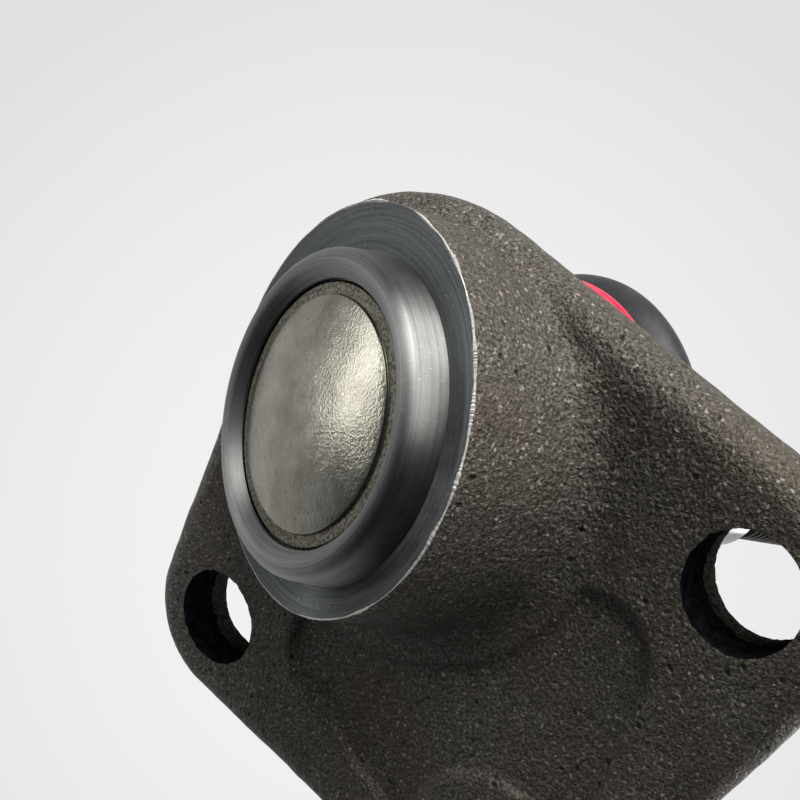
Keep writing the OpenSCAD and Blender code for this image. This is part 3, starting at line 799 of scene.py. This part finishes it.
# End cap: drawn cup with a low domed disc inside a flat rim
dome_top_z = CAP_FACE_Z - DOME_RISE
dome_edge = math.asin(DOME_EDGE_R / DOME_R)
cup_end_z = CAP_INNER_Z - 0.04
cap_profile = [Vector((0, dome_top_z))]
cap_profile += arc((0, dome_top_z + DOME_R), DOME_R, -math.pi / 2 + dome_edge / 24, -math.pi / 2 + dome_edge,
                   dome_edge / 24)
cap_profile += rounded([
    (12.35, -17.13), (DISC_R, -17.08, 0.1), (DISC_R + 0.05, RIM_FACE_Z, 0.1), (13.95, RIM_FACE_Z, 0.1),
    (14.2, RIM_FACE_Z + 0.3), (CAP_R, RIM_FACE_Z + 0.35, 0.2), (CAP_R, cup_end_z, 0.3), (11, cup_end_z, 0.4),
    (10.8, -15.4, 0.2), (0, -16.0)], closed=False)
cap_pressing = put("cap_pressing", revolved("cap_pressing", cap_profile, 240), [cap_steel],
                   "housing_body")
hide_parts("end_cap")

# Ball stud: forged, the ball and taper ground, the thread rolled
ball_flat_r = math.sqrt(BALL_R ** 2 - BALL_FLAT_Z ** 2)
fillet_r = WAIST_R + WAIST_FILLET
waist_z = math.sqrt((BALL_R + WAIST_FILLET) ** 2 - fillet_r ** 2)
waist_angle = math.acos(waist_z / (BALL_R + WAIST_FILLET))
stud_profile = [Vector((0, BALL_FLAT_Z + 1.6)), Vector((0.6, BALL_FLAT_Z + 1.2)), Vector((2.0, BALL_FLAT_Z))]
stud_profile += arc((0, 0), BALL_R, math.atan2(BALL_FLAT_Z, ball_flat_r), math.pi / 2 - waist_angle,
                    math.radians(3))
stud_profile += arc((fillet_r, waist_z), WAIST_FILLET, -math.pi / 2 - waist_angle, -math.pi, math.radians(9))
stud_profile += rounded([
    (WAIST_R, waist_z + 0.2), (WAIST_R, 20.2, 1.5), (SEAT_R, 24.2, 1.5), (SEAT_R, TAPER_LOW_Z, 2),
    (TAPER_END_R, TAPER_END_Z, 0.5), (5.05, 51.9, 0.6), (5.05, 53.4), (0, 53.4)], closed=False)
stud_forging = put("stud_forging", revolved("stud_forging", stud_profile), [stud_steel],
                   "stud_body")
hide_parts("ball_stud")


def stud_thread_mesh():
    """Rolled M12 x 1.25 thread as a real helix, run out at both ends, with the cross hole for the cotter."""
    around, rows = 120, 168
    depth = 0.6134 * THREAD_PITCH
    points = []
    for j in range(rows + 1):
        z = THREAD_LOW_Z + (STUD_END_Z - THREAD_LOW_Z) * j / rows
        for k in range(around):
            turn = (z / THREAD_PITCH - k / around) % 1
            flank = min(1, max(0, (abs(turn - 0.5) * 2 - 0.125) / 0.75))
            r = THREAD_R - depth * (1 - flank) if flank > 0.06 else THREAD_R - depth * 0.97
            r = min(r, THREAD_R - 0.06, 4.95 + max(0, z - 53.2) * 1.1, 4.6 + (STUD_END_Z - z) * 1.1)
            a = 2 * math.pi * k / around
            points.append((r * math.cos(a), r * math.sin(a), z))
    faces = [[j * around + k, j * around + (k + 1) % around, (j + 1) * around + (k + 1) % around,
              (j + 1) * around + k] for j in range(rows) for k in range(around)]
    for j, z in ((0, THREAD_LOW_Z), (rows, STUD_END_Z - 1.4)):
        points.append((0, 0, z))
        faces += [[j * around + k, j * around + (k + 1) % around, len(points) - 1] for k in range(around)]
    shank = blank("stud_thread_blank", mesh_of("stud_thread", points, faces))
    angles = [math.radians(10 * k) for k in range(36)]
    ring = [(COTTER_HOLE_R * math.cos(a), COTTER_HOLE_Z + COTTER_HOLE_R * math.sin(a)) for a in angles]
    drill = [[Vector((x, y, z)) for y, z in ring] for x in (-9, 9)]
    cut(shank, blank("cotter_drill", stack("cotter_drill", drill)))
    mesh = shank.data
    bpy.data.objects.remove(shank)
    return mesh


put("stud_thread", stud_thread_mesh(), [thread_steel], "stud_body")

# Boot: belly, shoulder and collar, in two pieces that meet on the mould's parting line

def boot_middle(s):
    """Middle of the boot's wall, from its base at 0 to the collar at 1."""
    low_r, belly_r, top_r = (r - BOOT_WALL / 2 for r in (BOOT_BASE_R, BOOT_BELLY_R, COLLAR_R))
    if s < BELLY_AT:
        r = low_r + (belly_r - low_r) * math.sin(s / BELLY_AT * math.pi / 2)
    else:
        r = top_r + (belly_r - top_r) * (1 - ((s - BELLY_AT) / (1 - BELLY_AT)) ** 1.5)
    return Vector((r, BOOT_LOW_Z + (BOOT_TOP_Z - BOOT_LOW_Z) * s))


def boot_side(s, side):
    """A point on the outer side (1) or inner side (-1) of the boot's wall, and the way square to the wall."""
    along = (boot_middle(min(1, s + 0.004)) - boot_middle(max(0, s - 0.004))).normalized()
    square = Vector((along.y, -along.x))
    return boot_middle(s) + square * side * BOOT_WALL / 2, square


def boot_wall(side, low_z, high_z):
    """Points along one side of the boot's wall, cut at two heights."""
    out = []
    for i in range(161):
        p, square = boot_side(i / 160, side)
        # the faint rib that the mould leaves on the parting line
        rib = math.exp(-((p.y - BOOT_SPLIT_Z) / RIB_WIDE) ** 2) * RIB_HIGH if side > 0 else 0
        if low_z < p.y < high_z:
            out.append(p + square * rib)
    return out


def crossing(side, z):
    """Where one side of the boot's wall crosses a height."""
    low, high = 0.0, 1.0
    for _ in range(40):
        s = (low + high) / 2
        p, _ = boot_side(s, side)
        low, high = (s, high) if p.y < z else (low, s)
    return Vector((p.x + (RIB_HIGH if side > 0 else 0), z))


lower_boot = [Vector(p) for p in (
    (GROOVE_R + 0.05, 14.2), (GROOVE_R + 0.05, 10.95), (GROOVE_R + 0.3, 10.85),
    (BOOT_BASE_R - 0.3, 10.85), (BOOT_BASE_R, 11.15), (BOOT_BASE_R, 14.1))]
lower_boot += boot_wall(1, 14.4, BOOT_SPLIT_Z - 0.02)
lower_boot += [crossing(1, BOOT_SPLIT_Z), crossing(-1, BOOT_SPLIT_Z)]
lower_boot += reversed(boot_wall(-1, 16.0, BOOT_SPLIT_Z - 0.02))
lower_boot += [Vector((RIM_R + 0.05, 15.6)), Vector((RIM_R + 0.05, 14.3))]
boot_lower = put("boot_lower", revolved("boot_lower", lower_boot), [boot_rubber], None)
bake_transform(boot_lower)
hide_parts("dust_boot")

upper_boot = [crossing(-1, BOOT_SPLIT_Z), crossing(1, BOOT_SPLIT_Z)]
upper_boot += boot_wall(1, BOOT_SPLIT_Z + 0.02, 27.3)
upper_boot += rounded([
    (COLLAR_R, 27.5), (COLLAR_R, 27.8, 0.1), (COLLAR_R - 0.6, 28.2, 0.2), (COLLAR_R - 0.6, 29.45, 0.2),
    (COLLAR_R, 29.75, 0.15), (COLLAR_R, COLLAR_TOP_Z, 0.3), (SEAT_R + 0.05, COLLAR_TOP_Z, 0.4),
    (SEAT_R + 0.05, COLLAR_Z, 0.3), (9.6, COLLAR_Z)], closed=False)
upper_boot += [p for p in reversed(boot_wall(-1, BOOT_SPLIT_Z + 0.02, 25.4)) if p.x > 10.2]
boot_upper = put("boot_upper", revolved("boot_upper", upper_boot), [boot_rubber], None)
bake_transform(boot_upper)
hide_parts("dust_boot")

# Rings: two close turns of coated wire at the base, one turn with lapped ends at the collar
base_wire = coil("base_ring_coil", radius=20.51, middle_z=12.65, pitch=1.42, turns=2, wire=1.38, start=2.1)
base_ring_coil = put("base_ring_coil", base_wire, [ring_coat], "housing_body")
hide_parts("boot_base_ring")
collar_wire = coil("collar_ring_coil", radius=11.12, middle_z=28.85, pitch=0.62, turns=1.12, wire=0.95,
                   start=0.4)
collar_ring_coil = put("collar_ring_coil", collar_wire, [drawn_wire], "collar_body")
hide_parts("boot_collar_ring")

# Bearing parts inside keep their solids
for node_name, material in (("lower_seat", acetal), ("upper_shell", acetal), ("disc_spring", spring_steel)):
    for material_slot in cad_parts[node_name].material_slots:
        material_slot.material = material


# Floor, world and lamps

def studio():
    """Pale floor that keeps the shadow, and the pale backdrop with its dimmer reflection."""
    low_z = cad_box[0].z - FLOOR_GAP
    floor_mesh = bpy.data.meshes.new("floor")
    side = 3.0
    corners = [(-side, -side, low_z), (side, -side, low_z), (side, side, low_z), (-side, side, low_z)]
    floor_mesh.from_pydata(corners, [], [(0, 1, 2, 3)])
    floor = bpy.data.objects.new("floor", floor_mesh)
    scene.collection.objects.link(floor)
    # the floor takes light and shadow, but the lens looks through it from below, and it throws
    # nothing back on the cap side
    floor.visible_diffuse = floor.visible_glossy = floor.visible_transmission = floor.visible_shadow = False
    material = bpy.data.materials.new("pale_painted_floor")
    material.use_nodes = True
    tree = material.node_tree
    tree.nodes.clear()
    paint = add(tree, "ShaderNodeBsdfDiffuse", {"Color": linear("e6e5e3")})
    # away from the object, where the lamps' light thins out, the floor turns into the pale backdrop
    place = add(tree, "ShaderNodeTexCoord", {})
    away = add(tree, "ShaderNodeVectorMath", {0: place.outputs["Object"]}, operation="LENGTH")
    far = add(tree, "ShaderNodeMapRange", {
        "Value": away.outputs["Value"], "From Min": 0.12,
        "From Max": 1.1}, interpolation_type="SMOOTHSTEP")
    horizon = add(tree, "ShaderNodeEmission", {"Color": linear("e0e0e0"), "Strength": 1})
    ground = add(tree, "ShaderNodeMixShader", {
        0: far.outputs["Result"], 1: paint.outputs[0], 2: horizon.outputs[0]})
    clear = add(tree, "ShaderNodeBsdfTransparent", {})
    side_seen = add(tree, "ShaderNodeNewGeometry", {})
    surface = add(tree, "ShaderNodeMixShader", {
        0: side_seen.outputs["Backfacing"], 1: ground.outputs[0], 2: clear.outputs[0]})
    tree.links.new(surface.outputs[0], tree.nodes.new("ShaderNodeOutputMaterial").inputs[0])
    floor_mesh.materials.append(material)

    world = bpy.data.worlds.new("studio")
    scene.world = world
    world.use_nodes = True
    tree = world.node_tree
    tree.nodes.clear()
    way = add(tree, "ShaderNodeTexCoord", {}).outputs["Generated"]
    ahead = add(tree, "ShaderNodeVectorMath", {0: way, 1: view_ahead}, operation="DOT_PRODUCT")
    # the backdrop is palest behind the object and falls off a little towards its edges
    fade = add(tree, "ShaderNodeMapRange", {
        "Value": ahead.outputs["Value"], "From Min": 0.9, "From Max": 0.99})
    backdrop = add(tree, "ShaderNodeMix", {
        "Factor": fade.outputs["Result"], 6: linear("e0e0e0"), 7: linear("f1f1f1")}, data_type="RGBA")
    # what metal mirrors: the same backdrop ahead, the unlit room on the side of the lens, darker below
    room = add(tree, "ShaderNodeMapRange", {
        "Value": ahead.outputs["Value"], "From Min": 0.02, "From Max": 0.65})
    below = add(tree, "ShaderNodeVectorMath", {0: way, 1: view_down}, operation="DOT_PRODUCT")
    lower_half = add(tree, "ShaderNodeMapRange", {
        "Value": below.outputs["Value"], "From Min": -0.15, "From Max": 0.3})
    walls = add(tree, "ShaderNodeMix", {"Factor": lower_half.outputs["Result"], 6: linear("5a5e64"),
                                        7: linear("26241f")}, data_type="RGBA")
    mirrored = add(tree, "ShaderNodeMix", {"Factor": room.outputs["Result"], 6: walls.outputs[2],
                                           7: backdrop.outputs[2]}, data_type="RGBA")
    path = add(tree, "ShaderNodeLightPath", {})
    sharp = add(tree, "ShaderNodeMath", {
        0: path.outputs["Is Glossy Ray"], 1: path.outputs["Is Transmission Ray"]}, operation="MAXIMUM")
    soft_colour = add(tree, "ShaderNodeMix", {
        "Factor": sharp.outputs[0], 6: linear("474a50"), 7: mirrored.outputs[2]}, data_type="RGBA")
    colour = add(tree, "ShaderNodeMix", {
        "Factor": path.outputs["Is Camera Ray"], 6: soft_colour.outputs[2],
        7: backdrop.outputs[2]}, data_type="RGBA")
    light = add(tree, "ShaderNodeBackground", {"Color": colour.outputs[2], "Strength": 1})
    tree.links.new(light.outputs[0], tree.nodes.new("ShaderNodeOutputWorld").inputs[0])


def softbox(name, way, distance, size, tall, level, tint):
    """A lamp of the size given, across and along Y, that lights a surface facing it at the level given,
    where 1 shows colours as written."""
    lamp = bpy.data.lights.new(name, "AREA")
    lamp.shape = "RECTANGLE"
    lamp.size = size
    lamp.size_y = tall
    lamp.energy = level * (math.pi * distance) ** 2
    lamp.color = linear(tint)[:3]
    holder = bpy.data.objects.new(name, lamp)
    scene.collection.objects.link(holder)
    at = Vector(way).normalized() * distance
    holder.location = at
    holder.rotation_euler = at.to_track_quat("Z", "Y").to_euler()


studio()
softbox("key_softbox", (0.69, -0.67, -0.24), 2.4, 1.65, 1.65, 1.6, "fffdf8")
softbox("side_softbox", (0.92, -0.12, 0.24), 2.4, 1.5, 2.4, 0.75, "fffdf8")
softbox("left_softbox", (-0.57, -0.33, -0.79), 0.9, 0.40, 0.16, 0.12, "fffefa")
softbox("top_softbox", (0.1, 0.25, 1.0), 1.0, 0.7, 0.7, 0.6, "ffffff")
